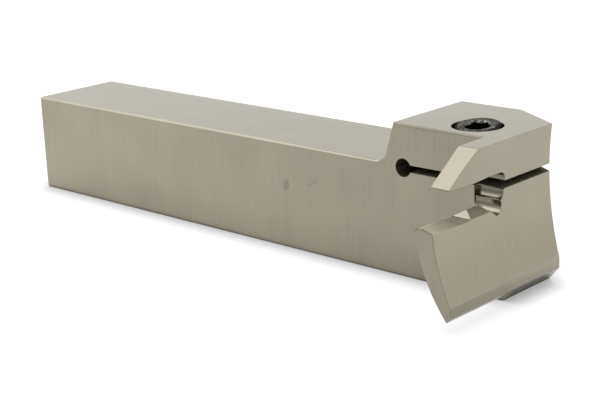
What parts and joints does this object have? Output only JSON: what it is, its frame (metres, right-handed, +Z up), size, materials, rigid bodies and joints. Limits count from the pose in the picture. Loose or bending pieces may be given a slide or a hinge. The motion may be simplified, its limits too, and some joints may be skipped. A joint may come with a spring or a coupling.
{
  "type": "turning tool holder",
  "caption": "Left-hand face-grooving tool holder with a square shank, a curved blade and a slit head whose clamping finger is drawn down by a screw.",
  "frame": {"origin": "on the underside of the shank, in the middle of the length that a tool post clamps, 60 mm from the rear end and midway across the width", "axes": "+X along the shank towards the head, +Y to the back, away from the blade, +Z up, square to the seating face"},
  "size_m": [0.1544, 0.0476, 0.0346],
  "materials": {
    "nickel_plated_steel": "satin nickel plating over milled and ground steel",
    "black_oxide_steel": "black oxide, slightly oily"
  },
  "bodies": {
    "holder": {"holder_body": "nickel_plated_steel"},
    "screw": {"clamp_screw": "black_oxide_steel"}
  },
  "joints": [
    {"name": "clamp_screw_turn", "type": "hinge", "parent": "holder", "child": "screw", "pos_m": [0.0792, -0.00439, 0.02818], "axis": [0, -0.1045, 0.9945], "range_deg": [0, 630]}
  ]
}
